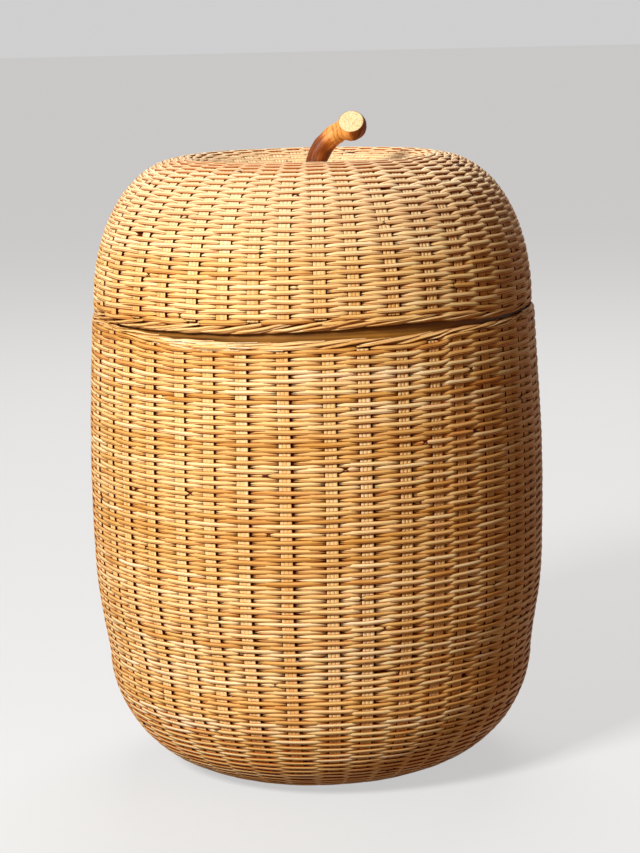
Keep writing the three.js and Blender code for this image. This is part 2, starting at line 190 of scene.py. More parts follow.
# Places that follow from the sizes above
LID_TOP = LID_BOTTOM + LID_HEIGHT
DIMPLE_FLOOR = LID_TOP - DIMPLE_DEPTH
CENTRE_HEIGHT = DIMPLE_FLOOR + LID_RISE
MIDDLE = SWING + WEAVER_THICKNESS / 2
STAKE_DEPTH = WEAVER_THICKNESS + STAKE_THICKNESS / 2
STAKE_PITCH = tau / STAKES
FRONT = -pi / 2
WASHER_TOP = DIMPLE_FLOOR - WALL_THICKNESS - WEAVE_GAP
PEG_HEIGHT = WASHER_TOP - WASHER_THICKNESS - WEAVE_GAP - PEG_RADIUS


class Socket:
    """An output of a node, which takes part in sums as a number does."""

    def __init__(self, sheet, socket):
        self.sheet = sheet
        self.socket = socket

    def other(self, name):
        return Socket(self.sheet, self.socket.node.outputs[name])

    def sum(self, operation, a, b):
        return self.sheet.add("ShaderNodeMath", {0: a, 1: b}, operation=operation)

    def clamp(self):
        return self.most(0.0).least(1.0)

    def ease(self, low, high):
        """Goes softly from 0 to 1 while this goes from low to high."""
        values = {"Value": self, "From Min": low, "From Max": high}
        return self.sheet.add("ShaderNodeMapRange", values, interpolation_type="SMOOTHSTEP")

    def squared_off(self):
        """A cosine or sine whose circle has flatter sides."""
        return self * (1.25 - self * self * 0.25)


# The signs of sums, which also work with a plain number on their left, and what is written as a word
SIGNS = {
    "add": "ADD", "sub": "SUBTRACT", "mul": "MULTIPLY",
    "truediv": "DIVIDE", "pow": "POWER", "mod": "FLOORED_MODULO",
}
WORDS = {
    "__abs__": "ABSOLUTE", "cos": "COSINE", "sin": "SINE",
    "floor": "FLOOR", "least": "MINIMUM", "most": "MAXIMUM",
}
for sign, operation in SIGNS.items():
    setattr(Socket, f"__{sign}__", lambda a, b, kind=operation: a.sum(kind, a, b))
    setattr(Socket, f"__r{sign}__", lambda b, a, kind=operation: b.sum(kind, a, b))
for word, operation in WORDS.items():
    setattr(Socket, word, lambda a, b=0.0, kind=operation: a.sum(kind, a, b))


class Sheet:
    """A node tree that is written down as expressions."""

    def __init__(self, tree):
        self.tree = tree

    def add(self, kind, values=None, **settings):
        """A node of a kind, with its settings and then the values or links of its sockets."""
        node = self.tree.nodes.new(kind)
        for name, value in settings.items():
            if name == "stops":
                self.set_stops(node.color_ramp, value)
            else:
                setattr(node, name, value)
        for name, value in (values or {}).items():
            self.fill(node, name, value)
        usable = [output for output in node.outputs if output.enabled]
        return Socket(self, usable[0]) if usable else None

    def fill(self, node, name, value):
        if isinstance(name, int):
            slot = node.inputs[name]
        else:
            slot = next(s for s in node.inputs if s.enabled and s.name == name)
        if isinstance(value, Socket):
            self.tree.links.new(value.socket, slot)
        else:
            slot.default_value = value

    def set_stops(self, ramp, stops):
        while len(ramp.elements) < len(stops):
            ramp.elements.new(1.0)
        for element, (place, colour) in zip(ramp.elements, stops):
            element.position = place
            element.color = colour

    def ask(self, name, kind):
        self.tree.interface.new_socket(name, in_out="INPUT", socket_type=kind)
        inlet = self.tree.nodes.get("Group Input") or self.tree.nodes.new("NodeGroupInput")
        return Socket(self, inlet.outputs[name])

    def lengths(self, *names):
        """Named inputs for sizes, places and shares."""
        return [self.ask(name, "NodeSocketFloat") for name in names]

    def counts(self, *names):
        """Named inputs for whole numbers."""
        return [self.ask(name, "NodeSocketInt") for name in names]

    def give(self, name, kind, value):
        self.tree.interface.new_socket(name, in_out="OUTPUT", socket_type=kind)
        outlet = self.tree.nodes.get("Group Output") or self.tree.nodes.new("NodeGroupOutput")
        self.tree.links.new(value.socket, outlet.inputs[name])

    def vector(self, x, y, z):
        return self.add("ShaderNodeCombineXYZ", {0: x, 1: y, 2: z})

    def parts(self, vector):
        split = self.add("ShaderNodeSeparateXYZ", {0: vector})
        return split, split.other("Y"), split.other("Z")

    def noise(self, vector, scale=1.0, detail=2.0):
        return self.add("ShaderNodeTexNoise", {"Vector": vector, "Scale": scale, "Detail": detail})

    def drifts(self, spot, scale=1.0, detail=2.0):
        """Three numbers about 0 that each change softly from place to place."""
        return [part - 0.5 for part in self.parts(self.noise(spot, scale, detail).other("Color"))]

    def mix(self, factor, a, b, blend="MIX"):
        values = {"Factor": factor, "A": a, "B": b}
        return self.add("ShaderNodeMix", values, data_type="RGBA", blend_type=blend)

    def grey(self, value):
        return self.add("ShaderNodeCombineColor", {0: value, 1: value, 2: value})

    def ramp(self, factor, stops):
        return self.add("ShaderNodeValToRGB", {"Fac": factor}, stops=stops)

    def store(self, geometry, name, value, kind="FLOAT"):
        values = {"Geometry": geometry, "Name": name, "Value": value}
        return self.add("GeometryNodeStoreNamedAttribute", values, data_type=kind, domain="POINT")

    def read(self, name, kind="FLOAT"):
        return self.add("GeometryNodeInputNamedAttribute", {"Name": name}, data_type=kind)

    def painted(self, name, output):
        return self.add("ShaderNodeAttribute", attribute_name=name).other(output)

    def chance(self, low, high, number, seed):
        values = {"Min": low, "Max": high, "ID": number, "Seed": seed}
        return self.add("FunctionNodeRandomValue", values, data_type="FLOAT")

    def at_length(self, line, length):
        """A line's point some way along it, which gives its place and the tangent there."""
        values = {"Curves": line, "Length": length}
        return self.add("GeometryNodeSampleCurve", values, mode="LENGTH", data_type="FLOAT")


def new_sheet(name):
    return Sheet(bpy.data.node_groups.new(name, "GeometryNodeTree"))


# Pieces


def new_object(name, data):
    piece = bpy.data.objects.new(name, data)
    bpy.context.scene.collection.objects.link(piece)
    return piece


def settle(piece):
    """Keeps what a piece's modifiers make of it as a plain mesh."""
    bpy.context.view_layer.update()
    depsgraph = bpy.context.evaluated_depsgraph_get()
    made = piece.evaluated_get(depsgraph)
    mesh = bpy.data.meshes.new_from_object(made, preserve_all_data_layers=True, depsgraph=depsgraph)
    piece.modifiers.clear()
    rough = piece.data
    piece.data = mesh
    bpy.data.meshes.remove(rough)
    mesh.name = piece.name
    return mesh


def set_in_frame(piece, body, slot, *nodes):
    """Hides the nodes of the frame that a piece stands in for, and attaches it to what it moves with. Its
    slot, the name of its finish, is not used.
    """
    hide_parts(*nodes)
    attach(piece, body)


# Outlines: (radius, height) points that run with the outside on their right


def smooth_line(points, steps=6):
    """A line through the points that bends smoothly, with some steps between each two."""
    spots = [Vector(p) for p in points]
    times = [0.0]
    for a, b in zip(spots, spots[1:]):
        times.append(times[-1] + (b - a).length)
    speeds = []
    for i in range(len(spots)):
        low, high = max(i - 1, 0), min(i + 1, len(spots) - 1)
        speeds.append((spots[high] - spots[low]) / (times[high] - times[low]))
    line = [spots[0]]
    for i in range(len(spots) - 1):
        span = times[i + 1] - times[i]
        for step in range(1, steps + 1):
            t = step / steps
            line.append(
                spots[i] * (2 * t**3 - 3 * t**2 + 1)
                + spots[i + 1] * (3 * t**2 - 2 * t**3)
                + speeds[i] * span * (t**3 - 2 * t**2 + t)
                + speeds[i + 1] * span * (t**3 - t**2)
            )
    return line


def body_outline(steps=12):
    points = [(BASE_RADIUS + WEAVE_GAP, FOOT_LIFT)]
    power = 2 / CORNER_FULLNESS
    for i in range(steps):
        turn = i / steps * pi / 2
        radius = FOOT_RADIUS + (CORNER_RADIUS - FOOT_RADIUS) * sin(turn) ** power
        height = FOOT_LIFT + (CORNER_HEIGHT - FOOT_LIFT) * (1 - cos(turn) ** power)
        points.append((radius, height))
    points += [(CORNER_RADIUS, CORNER_HEIGHT), LOW_WALL, BELLY, (RIM_RADIUS, BODY_HEIGHT)]
    points.append((RIM_RADIUS - EDGE_ROOM * MOUTH_SLOPE, BODY_HEIGHT + EDGE_ROOM))
    return smooth_line(points)


def lid_outline(dome_steps=16, dimple_steps=8):
    points = [(LID_RADIUS, LID_BOTTOM - EDGE_ROOM)]
    power = 2 / DOME_FULLNESS
    for i in range(dome_steps):
        turn = i / dome_steps * pi / 2
        radius = CROWN_RADIUS + (LID_RADIUS - CROWN_RADIUS) * cos(turn) ** power
        points.append((radius, LID_BOTTOM + LID_HEIGHT * sin(turn) ** power))
    for i in range(dimple_steps + 1):
        share = i / dimple_steps
        radius = CROWN_RADIUS + (LID_CENTRE_RADIUS + WEAVE_GAP - CROWN_RADIUS) * share
        points.append((radius, DIMPLE_FLOOR + DIMPLE_DEPTH * cos(share * pi / 2) ** 2))
    return smooth_line(points)


def length_of(line):
    return sum((b - a).length for a, b in zip(line, line[1:]))


# Hand work


def lift_at(lifts, angle):
    """The stray of an edge at an angle from the front, between the two nearest readings."""
    for (a, low), (b, high) in zip(lifts, lifts[1:]):
        if a <= angle <= b:
            return (low + (high - low) * (angle - a) / (b - a)) / 1000
    return 0.0


def hand_of(grid_turn, shifts, lifts, laps, seed):
    """For each stake its shift round the basket, the lift of the edge and how far the rows crowd it."""
    chance = random.Random(seed)
    hand = []
    for k in range(STAKES):
        number = k if k <= STAKES // 2 else k - STAKES
        place = number - FIRST_SHIFTED
        shift = shifts[place] if 0 <= place < len(shifts) else chance.uniform(-FREE_SHIFT, FREE_SHIFT)
        angle = grid_turn + degrees(number * STAKE_PITCH)
        hand.append((radians(shift), lift_at(lifts, angle), lift_at(laps, angle)))
    return hand


def line_object(name, line, hand):
    """The outline as an object in the half plane y = 0, for the node trees to read."""
    mesh = bpy.data.meshes.new(name)
    edges = [(i, i + 1) for i in range(len(line) - 1)]
    mesh.from_pydata([(r, 0.0, z) for r, z in line], edges, [])
    stray = mesh.attributes.new("hand", "FLOAT_VECTOR", "POINT")
    for k, entry in enumerate(hand):
        stray.data[k].vector = entry
    return new_object(name, mesh)


# Node trees


WALL_INPUTS = ("First Stake", "Wander", "Swell", "Edge", "Edge Reach", "Border Height")


def make_wall_tree():
    """Turns a place on the wall into a point in space. Round is counted in stakes from the front."""
    sheet = new_sheet("Lay on the wall")
    outline = sheet.ask("Outline", "NodeSocketGeometry")
    stakes, round_place, along, depth, aside = sheet.lengths("Stakes", "Round", "Along", "Depth", "Aside")
    first, wander, swell, edge, reach, border = sheet.lengths(*WALL_INPUTS)

    def hand_at(number):
        values = {"Geometry": outline, "Value": sheet.read("hand", "FLOAT_VECTOR"), "Index": number % stakes}
        return sheet.parts(
            sheet.add("GeometryNodeSampleIndex", values, data_type="FLOAT_VECTOR", domain="POINT")
        )

    before = round_place.floor()
    share = round_place - before
    share = share * share * (3.0 - share * 2.0)
    shift, lift, lap = [a + (b - a) * share for a, b in zip(hand_at(before), hand_at(before + 1.0))]
    turn = round_place * tau / stakes + first + shift

    away = abs(edge - along)
    nearness = (1.0 - away / reach).clamp()
    crowding = ((reach - away) / (reach - border)).least(away / border).clamp()
    here = sheet.at_length(outline, along + lift * nearness * nearness + lap * crowding)
    radius, _, height = sheet.parts(here.other("Position"))
    rise_r, _, rise_z = sheet.parts(here.other("Tangent"))

    drift_x, drift_y, _ = sheet.drifts(sheet.vector(turn.cos(), turn.sin(), along * 14.0), 1.7)
    sink = depth + drift_x * swell
    sideways = aside + drift_y * wander
    flat = sheet.vector(radius - rise_z * sink, sideways, height + rise_r * sink)
    place = sheet.add("ShaderNodeVectorRotate", {"Vector": flat, "Angle": turn}, rotation_type="Z_AXIS")
    sheet.give("Position", "NodeSocketVector", place)
    return sheet.tree


def lay_on_wall(sheet, outline, stakes, round_place, along, depth, aside=0.0):
    """Adds the wall tree to a tree, which gets the wall's own sizes as named inputs too."""
    values = {"Outline": outline, "Stakes": stakes, "Round": round_place}
    values.update({"Along": along, "Depth": depth, "Aside": aside})
    values.update(zip(WALL_INPUTS, sheet.lengths(*WALL_INPUTS)))
    return sheet.add("GeometryNodeGroup", values, node_tree=wall_tree)


def outline_of(sheet):
    return sheet.add("GeometryNodeMeshToCurve", {"Mesh": sheet.ask("Geometry", "NodeSocketGeometry")})


def plain_rail(sheet, points):
    """A line of so many points, which the end of a tree puts in their places."""
    line = sheet.add("GeometryNodeMeshLine", {"Count": points, "Offset": (0.001, 0.0, 0.0)})
    return sheet.add("GeometryNodeMeshToCurve", {"Mesh": line})


def rails_of(sheet, points, amount):
    """Lines that know their number and, as share, the way along themselves."""
    values = {"Geometry": plain_rail(sheet, points), "Amount": amount}
    copies = sheet.add("GeometryNodeDuplicateElements", values, domain="SPLINE")
    rails = sheet.store(copies, "number", copies.other("Duplicate Index"))
    return sheet.store(rails, "share", sheet.add("GeometryNodeSplineParameter"))


def lanes_of(sheet, canes):
    """The number of each cane, the stake it belongs to, and its lane, counted from the stake's middle."""
    number = sheet.read("number")
    stake = (number / canes).floor()
    return number, stake, number - stake * canes - (canes - 1.0) * 0.5


def tube(sheet, rails, sides):
    """A tube along each rail. Its vertices know their way round it as the attribute round."""
    circle = sheet.add("GeometryNodeCurvePrimitiveCircle", {"Resolution": sides, "Radius": 0.0001})
    way = sheet.add("GeometryNodeSplineParameter")
    profile = sheet.store(circle, "round", way * tau)
    values = {"Curve": rails, "Profile Curve": profile, "Fill Caps": True}
    return sheet.add("GeometryNodeCurveToMesh", values)


def finish_tree(sheet, mesh, tone, hollow, cane, position):
    """Ends a tree. Tone is the strand's own shade. Hollow is 1 where it dives out of sight or ends, and on
    the flanks of a stake. Cane is the length, way round and number of the strand."""
    mesh = sheet.store(mesh, "tone", tone)
    # the finish paints shade where hollow is high
    mesh = sheet.store(mesh, "hollow", hollow)
    mesh = sheet.store(mesh, "cane", cane, "FLOAT_VECTOR")
    placed = sheet.add("GeometryNodeSetPosition", {"Geometry": mesh, "Position": position})
    smooth = sheet.add("GeometryNodeSetShadeSmooth", {"Geometry": placed, "Shade Smooth": True})
    real = sheet.add("GeometryNodeRealizeInstances", {"Geometry": smooth})
    values = {"Geometry": real, "Material": sheet.ask("Material", "NodeSocketMaterial")}
    coloured = sheet.add("GeometryNodeSetMaterial", values)
    sheet.give("Geometry", "NodeSocketGeometry", coloured)
    return sheet.tree


def make_weave_tree():
    """One long weaver that spirals along the outline, over and under the stakes."""
    sheet = new_sheet("Woven rows")
    outline = outline_of(sheet)
    stakes, steps, sides, seed = sheet.counts("Stakes", "Steps", "Sides", "Seed")
    first_row, rows, all_rows, start = sheet.lengths("First Row", "Rows", "All Rows", "Start")
    rise, growth, fullness, wobble = sheet.lengths("Rise", "Growth", "Fullness", "Row Wobble")
    thickness, middle, swing = sheet.lengths("Weaver Thickness", "Middle Depth", "Swing")
    lean, calm, reed = sheet.lengths("Lean", "Calm From", "Reed Length")

    rail = plain_rail(sheet, rows * stakes * steps + 1.0)
    index = sheet.add("GeometryNodeInputIndex")
    rail = sheet.store(rail, "place", first_row * stakes + index / steps)
    mesh = tube(sheet, rail, sides)

    place = sheet.read("place")
    way = sheet.read("round")
    row = place / stakes
    climb = row / all_rows
    pitch = rise / all_rows * (1.0 - growth + climb * growth * 2.0)
    hollow = 0.5 - ((place - lean) * pi).cos() * 0.5
    wave = (1.0 - hollow**5.0 * 2.0) * (1.0 - climb.ease(calm, calm + 0.08) * 0.65)

    # The reeds are spliced end to end, and each gets thin where it meets the next.
    reeds = place / reed + (place * (2.7 / reed)).sin() * 0.4
    piece = reeds.floor()
    ahead = reeds - piece
    splice = ahead.least(1.0 - ahead) * reed
    tone = sheet.chance(0.0, 1.0, piece, seed)
    unrest, wear, _ = sheet.drifts(sheet.vector(place * 0.3, row * 0.22, seed))
    jolt, waist, dip = sheet.drifts(sheet.vector(place * 0.55, row * 7.3, seed), detail=1.0)
    girth = sheet.chance(0.93, 1.07, piece, seed + 7.0) + wear * 0.2 + waist * 0.4
    girth = girth * (0.6 + splice.ease(0.0, 0.25) * 0.4)

    up = way.sin().squared_off() * (fullness + hollow * 0.4) * pitch * 0.5 * girth
    out = way.cos().squared_off() * thickness * 0.5 * girth
    level = start + rise * climb * (1.0 - growth + climb * growth)
    along = level + (unrest * 2.0 + jolt * 1.5) * wobble + up
    depth = middle - wave * swing - out + dip * thickness * 0.3
    position = lay_on_wall(sheet, outline, stakes, place, along, depth)
    # mask for the finish's painted shade, which also rises where a reed thins at its splice
    shown = hollow.most(1.0 - splice * 1.2)
    return finish_tree(sheet, mesh, tone, shown, sheet.vector(place, way, piece), position)


def make_stake_tree():
    """Stakes of a few round canes side by side, which follow the outline."""
    sheet = new_sheet("Stakes")
    outline = outline_of(sheet)
    stakes, canes, points, sides, seed = sheet.counts("Stakes", "Canes", "Points", "Sides", "Seed")
    start, end, widest, fill = sheet.lengths("Start", "End", "Stake Width", "Stake Share")
    thickness, middle = sheet.lengths("Stake Thickness", "Middle Depth")
    mesh = tube(sheet, rails_of(sheet, points, stakes * canes), sides)

    number, stake, lane = lanes_of(sheet, canes)
    way = sheet.read("round")
    along = start + (end - start) * sheet.read("share")
    radius, _, _ = sheet.parts(sheet.at_length(outline, along).other("Position"))
    width = (radius * tau / stakes * fill).least(widest) / canes
    unrest, wear, _ = sheet.drifts(sheet.vector(number * 3.1, along * 30.0, seed))
    girth = sheet.chance(0.94, 1.06, number, seed + 3.0)
    aside = width * (lane + unrest * 0.1 + way.sin().squared_off() * 0.6 * girth)
    depth = middle + wear * 0.0003 - way.cos().squared_off() * thickness * 0.5 * girth
    position = lay_on_wall(sheet, outline, stakes, stake, along, depth, aside)
    tone = sheet.chance(0.3, 0.85, stake, seed) * 0.7 + sheet.chance(0.1, 1.0, number, seed) * 0.3
    # the flanks of a stake take the finish's painted shade through the hollow mask
    flank = (lane * way.sin() * 2.0 / (canes - 0.999)).ease(0.25, 0.65) * 0.95
    return finish_tree(sheet, mesh, tone, flank, sheet.vector(along * 55.0, way, number), position)


def make_border_tree():
    """Stake ends that bend over at the edge, pass behind the next stake and run out along the edge."""
    sheet = new_sheet("Border")
    outline = outline_of(sheet)
    stakes, canes, points, sides, seed = sheet.counts("Stakes", "Canes", "Points", "Sides", "Seed")
    root, free, passed, thickness = sheet.lengths("Root", "Free Edge", "Stakes Passed", "Cane")
    width, middle, deep, step = sheet.lengths("Stake Width", "Middle Depth", "Deep", "Step Back")
    mesh = tube(sheet, rails_of(sheet, points, stakes * canes), sides)

    number, stake, lane = lanes_of(sheet, canes)
    way = sheet.read("round")
    share = sheet.read("share")
    unrest, wear, _ = sheet.drifts(sheet.vector(number * 5.3, share * 4.0, seed))
    stray = sheet.chance(-1.0, 1.0, number, seed + 2.0)

    bend = share.ease(0.0, 0.09)
    upright = 1.0 - bend
    run = ((share - 0.045) / 0.955).clamp()
    band = free - root
    side = band / abs(band)
    spread = lane * 0.22 * thickness
    level = root + band * (0.06 + run.ease(0.0, 0.92) * 0.86) + side * spread * bend
    path = (root - side * thickness * 2.0) * upright + level * bend
    out_front = run.ease(0.1, 0.45) * (1.0 - run.ease(0.86, 1.0))
    bedded = deep + (thickness * (0.4 + lane * 0.25) + run * step - deep) * out_front
    path_depth = middle * upright + bedded * bend
    thin = (0.2 + share.ease(0.18, 0.54) * 0.8) * (1.0 - share.ease(0.7, 0.98) * 0.7)
    girth = thickness * 0.5 * thin * (1.0 + stray * 0.14 + wear * 0.3)

    along = path + (unrest * 0.0009 + stray * 0.0002) * bend + way.sin() * girth * bend
    depth = path_depth + wear * 0.0006 * bend - way.cos() * girth
    aside = lane * width / canes * upright + upright * way.sin() * girth
    turn = stake + run * (passed + stray * 0.35)
    position = lay_on_wall(sheet, outline, stakes, turn, along, depth, aside)
    tone = sheet.chance(0.0, 1.0, number, seed)
    return finish_tree(sheet, mesh, tone, 0.0, sheet.vector(share * 9.0, way, number), position)


def make_fray_tree():
    """Loose ends and split fibres that lie about one place of an edge."""
    sheet = new_sheet("Loose ends")
    outline = outline_of(sheet)
    stakes, amount, points, sides, seed = sheet.counts("Stakes", "Fibres", "Points", "Sides", "Seed")
    around, spread, low, high = sheet.lengths("Around", "Spread", "Low", "High")
    length, slope, curl, thickness = sheet.lengths("Length", "Slope", "Curl", "Fibre")
    mesh = tube(sheet, rails_of(sheet, points, amount), sides)

    number = sheet.read("number")
    way = sheet.read("round")
    share = sheet.read("share")
    run = length * share * sheet.chance(0.5, 1.3, number, seed)
    turn = around + sheet.chance(-0.5, 0.5, number, seed + 1.0) * spread + run
    rise = sheet.chance(-0.4, 1.0, number, seed + 2.0) * slope * share
    lie = low + (high - low) * sheet.chance(0.0, 1.0, number, seed + 3.0)
    girth = thickness * (0.5 - share * 0.32) * sheet.chance(0.7, 1.3, number, seed + 4.0)
    along = lie + rise + way.sin() * girth
    lifted = sheet.chance(0.0, 1.0, number, seed + 5.0) * curl * share * share
    depth = thickness * 0.9 - lifted - way.cos() * girth
    position = lay_on_wall(sheet, outline, stakes, turn, along, depth)
    tone = sheet.chance(0.0, 1.0, number, seed + 6.0)
    return finish_tree(sheet, mesh, tone, 0.0, sheet.vector(share * 3.0, way, number), position)


def grow(name, tree, wall, sizes, finish, slot, *nodes):
    """Runs a tree on a wall's outline and sets the mesh that comes out in the frame."""
    piece = line_object(name, wall["line"], wall["hand"])
    maker = piece.modifiers.new("maker", "NODES")
    maker.node_group = tree
    wanted = {**wall["sizes"], **sizes, "Material": finish}
    for entry in tree.interface.items_tree:
        if entry.in_out == "INPUT" and entry.name in wanted:
            maker[entry.identifier] = wanted[entry.name]
    settle(piece)
    set_in_frame(piece, wall["body"], slot, *nodes)


# Finishes


def linear(red, green, blue):
    """A colour as it is seen, from 0 to 255, as the renderer counts it."""
    shares = [value / 255 for value in (red, green, blue)]
    return (*(s / 12.92 if s <= 0.04045 else ((s + 0.055) / 1.055) ** 2.4 for s in shares), 1.0)


def stops_of(*rows):
    """The stops of a ramp. Each row has a place and the red, green and blue that are seen there."""
    return [(place, linear(*colour)) for place, *colour in rows]


def new_finish(name):
    material = bpy.data.materials.new(name)
    material.use_nodes = True
    return material, Sheet(material.node_tree), material.node_tree.nodes["Principled BSDF"]


def finish_off(sheet, shader, colour, roughness, height, gloss, strength, depth):
    """Fills in a finish. Height, strength and depth are those of the bumps."""
    bump = sheet.add("ShaderNodeBump", {"Strength": strength, "Distance": depth, "Height": height})
    values = {"Base Color": colour, "Specular IOR Level": gloss, "Roughness": roughness, "Normal": bump}
    for name, value in values.items():
        sheet.fill(shader, name, value)


def cane_finish(name, stops, roughness, streaks, seam_shading):
    """Split and peeled cane: a shade for each strand, blotches along it and fine fibres. It is darker in a
    band beside the seam between body and lid. It has painted shade, darker and redder, in the hollows beside
    the stakes and on their flanks, and, as much as the last argument says, along the edges where strands
    meet. Toward the top of the lid a painted sheen makes it paler."""
    material, sheet, shader = new_finish(name)
    tone = sheet.painted("tone", "Fac")
    hollow = sheet.painted("hollow", "Fac")
    length, way, piece = sheet.parts(sheet.painted("cane", "Vector"))
    place = sheet.add("ShaderNodeTexCoord").other("Object")
    _, _, height = sheet.parts(place)
    cloud = sheet.noise(place, 20.0, 3.0)
    blotch = sheet.noise(sheet.vector(length * 0.55, way * 0.2, piece * 5.7))
    hue = sheet.noise(sheet.vector(length * 0.3, piece * 2.9, cloud * 2.0))
    fibre = sheet.noise(sheet.vector(length * 1.5, way * 2.6, piece * 3.3), 2.0, 3.0)
    # darker in a band beside the seam between body and lid
    near_seam = 1.0 - abs(height - BODY_HEIGHT - 0.004).ease(0.0, 0.045)
    shade = (tone * 0.55 + (cloud - 0.5) * 0.4 + (blotch - 0.5) * 0.7 - near_seam * 0.12 + 0.30).clamp()
    tint = sheet.ramp(((hue - 0.5) * 2.4 + 0.5).clamp(), CANE_TINTS)
    tinted = sheet.mix(1.0, sheet.ramp(shade, stops), tint, "MULTIPLY")
    # painted sheen and light: the cane is paler toward the top of the lid, where light falls on it
    top_sheened = sheet.mix(height.ease(0.252, 0.298) * 0.6, tinted, TOP_SHEEN_CANE)
    # painted shade along the edges where strands meet, where one strand shades the next
    seam = abs(way.sin()).ease(0.56, 0.94) * seam_shading
    seam_shaded = sheet.mix(seam, top_sheened, SEAM_SHADE, "MULTIPLY")
    # painted shade in the hollows where a strand dives behind a stake, drawn out along the strand's edges as
    # a wedge
    wedge = abs(way.sin()).ease(0.3, 0.9) * (hue * 1.6 - 0.5).clamp() * 0.3
    outside = way.cos().ease(-0.2, 0.3)
    under = (hollow + wedge).ease(0.9, 0.945) * (1.0 - hollow.ease(0.955, 0.975)).most(outside)
    hollow_shaded = sheet.mix(under, seam_shaded, HOLLOW_SHADE, "MULTIPLY")
    worn = sheet.mix(1.0, hollow_shaded, sheet.grey(1.0 - (fibre - 0.4).clamp() * streaks), "MULTIPLY")
    roughness = roughness + (fibre - 0.5) * 0.25
    finish_off(sheet, shader, worn, roughness, fibre, gloss=0.07, strength=0.35, depth=0.0001)
    return material


def bark_finish():
    """Glossy brown bark that turns orange where it is wrinkled, with painted shade in the troughs between the
    wrinkles, and a pale speckled cut.
    """
    material, sheet, shader = new_finish("twig_bark")
    along, way, cut = sheet.parts(sheet.painted("twig", "Vector"))
    crease = sheet.painted("crease", "Fac")
    place = sheet.add("ShaderNodeTexCoord").other("Object")
    cloud = sheet.noise(place, 160.0, 3.0)
    streak = sheet.noise(sheet.vector(along * 2.5, way.cos() * 1.6, way.sin() * 1.6), 3.0, 3.0)
    speck = sheet.noise(place, 1400.0)
    turned = along.ease(0.64, 0.80) * (1.0 - along.ease(0.95, 1.0)) * 0.75
    worn = (turned + (cloud - 0.5) * 0.6 + (streak - 0.5) * 1.5 + 0.14).clamp()
    # painted shade in the troughs between the wrinkles
    crease_shaded = sheet.mix(crease, sheet.ramp(worn, BARK_STOPS), CREASE_SHADE, "MULTIPLY")
    wood = sheet.ramp(((speck - 0.5) * 2.2 + 0.5).clamp(), WOOD_STOPS)
    rim = cut.ease(0.08, 0.30) * (1.0 - cut.ease(0.42, 0.72))
    colour = sheet.mix(cut.ease(0.30, 0.55), crease_shaded, wood)
    edged = sheet.mix(rim * 0.6, colour, CUT_EDGE)
    height = streak * (1.0 - cut) + speck * cut * 0.5
    roughness = 0.46 + (streak - 0.5) * 0.2 + cut * 0.3
    finish_off(sheet, shader, edged, roughness, height, gloss=0.2, strength=0.5, depth=0.0003)
    return material


def strip_finish(name, dark, pale, roughness):
    """A smooth split or shaved strip, with long streaks along it."""
    material, sheet, shader = new_finish(name)
    place = sheet.add("ShaderNodeTexCoord").other("Object")
    across, back, up = sheet.parts(place)
    streak = sheet.noise(sheet.vector(across * 9.0, back * 9.0, up * 900.0), detail=3.0)
    cloud = sheet.noise(place, 30.0, 3.0)
    shade = ((streak - 0.5) * 2.0 + (cloud - 0.5) * 1.2 + 0.5).clamp()
    colour = sheet.ramp(shade, [(0.0, dark), (1.0, pale)])
    roughness = roughness + (streak - 0.5) * 0.2
    finish_off(sheet, shader, colour, roughness, streak, gloss=0.2, strength=0.5, depth=0.0002)
    return material


CANE_STOPS = stops_of(
    (0.0, 180, 116, 48), (0.25, 217, 162, 86), (0.5, 240, 197, 128), (0.75, 250, 221, 165),
    (1.0, 255, 236, 202),
)
STRAW_STOPS = stops_of((0.0, 196, 140, 74), (0.3, 232, 184, 116), (0.65, 248, 214, 154), (1.0, 255, 236, 194))
IVORY_STOPS = stops_of((0.0, 228, 190, 136), (0.5, 250, 228, 186), (1.0, 255, 244, 218))
CANE_TINTS = stops_of(
    (0.0, 255, 240, 224), (0.35, 255, 252, 244), (0.65, 255, 255, 242), (1.0, 252, 245, 220)
)
BARK_STOPS = stops_of((0.0, 92, 40, 6), (0.35, 138, 68, 16), (0.6, 176, 98, 36), (1.0, 230, 160, 80))
WOOD_STOPS = stops_of((0.0, 196, 148, 96), (0.4, 232, 196, 142), (1.0, 250, 226, 182))
# painted sheen for the top of the lid
TOP_SHEEN_CANE = linear(248, 222, 178)
# painted shade for the lines between strands
SEAM_SHADE = linear(176, 104, 28)
# painted shade for the hollows beside the stakes
HOLLOW_SHADE = linear(92, 32, 2)
# painted shade for the wrinkle troughs of the stem
CREASE_SHADE = linear(170, 100, 50)
CUT_EDGE = linear(110, 58, 24)

weaver_finish = cane_finish("weaver_cane", CANE_STOPS, 0.5, 0.6, 1.0)
stake_finish = cane_finish("stake_cane", CANE_STOPS, 0.5, 0.3, 0.3)
border_finish = cane_finish("border_cane", STRAW_STOPS, 0.5, 0.6, 0.8)
fibre_finish = cane_finish("fibre_cane", IVORY_STOPS, 0.55, 0.6, 0.35)
collar_finish = strip_finish("collar_cane", linear(78, 42, 10), linear(172, 116, 42), 0.45)
washer_finish = strip_finish("washer_cane", linear(150, 98, 48), linear(204, 150, 88), 0.5)
peg_finish = strip_finish("peg_wood", linear(160, 112, 66), linear(214, 172, 118), 0.65)

# Weave, stakes and borders
wall_tree = make_wall_tree()
weave_tree = make_weave_tree()
stake_tree = make_stake_tree()
border_tree = make_border_tree()
fray_tree = make_fray_tree()


def make_wall(body, line, stakes, turn, hand=(), edge=-1.0, wander=0.0, swell=0.0):
    """A wall to weave on. The edge that strays is given by its way along the line, or as -1 for none."""
    sizes = {
        "Stakes": stakes, "First Stake": FRONT + radians(turn), "Wander": wander, "Swell": swell,
        "Edge": edge, "Edge Reach": EDGE_REACH, "Border Height": BORDER_HEIGHT + WEAVE_GAP,
    }
    return {"body": body, "line": line, "hand": hand, "sizes": sizes}


def flat_wall(body, first, last, height, turn, wander=0.0, swell=0.0):
    """The wall of a disc, woven from one radius to another."""
    line = smooth_line([(first, height), (last, height)])
    return make_wall(body, line, STICKS, turn, wander=wander, swell=swell)


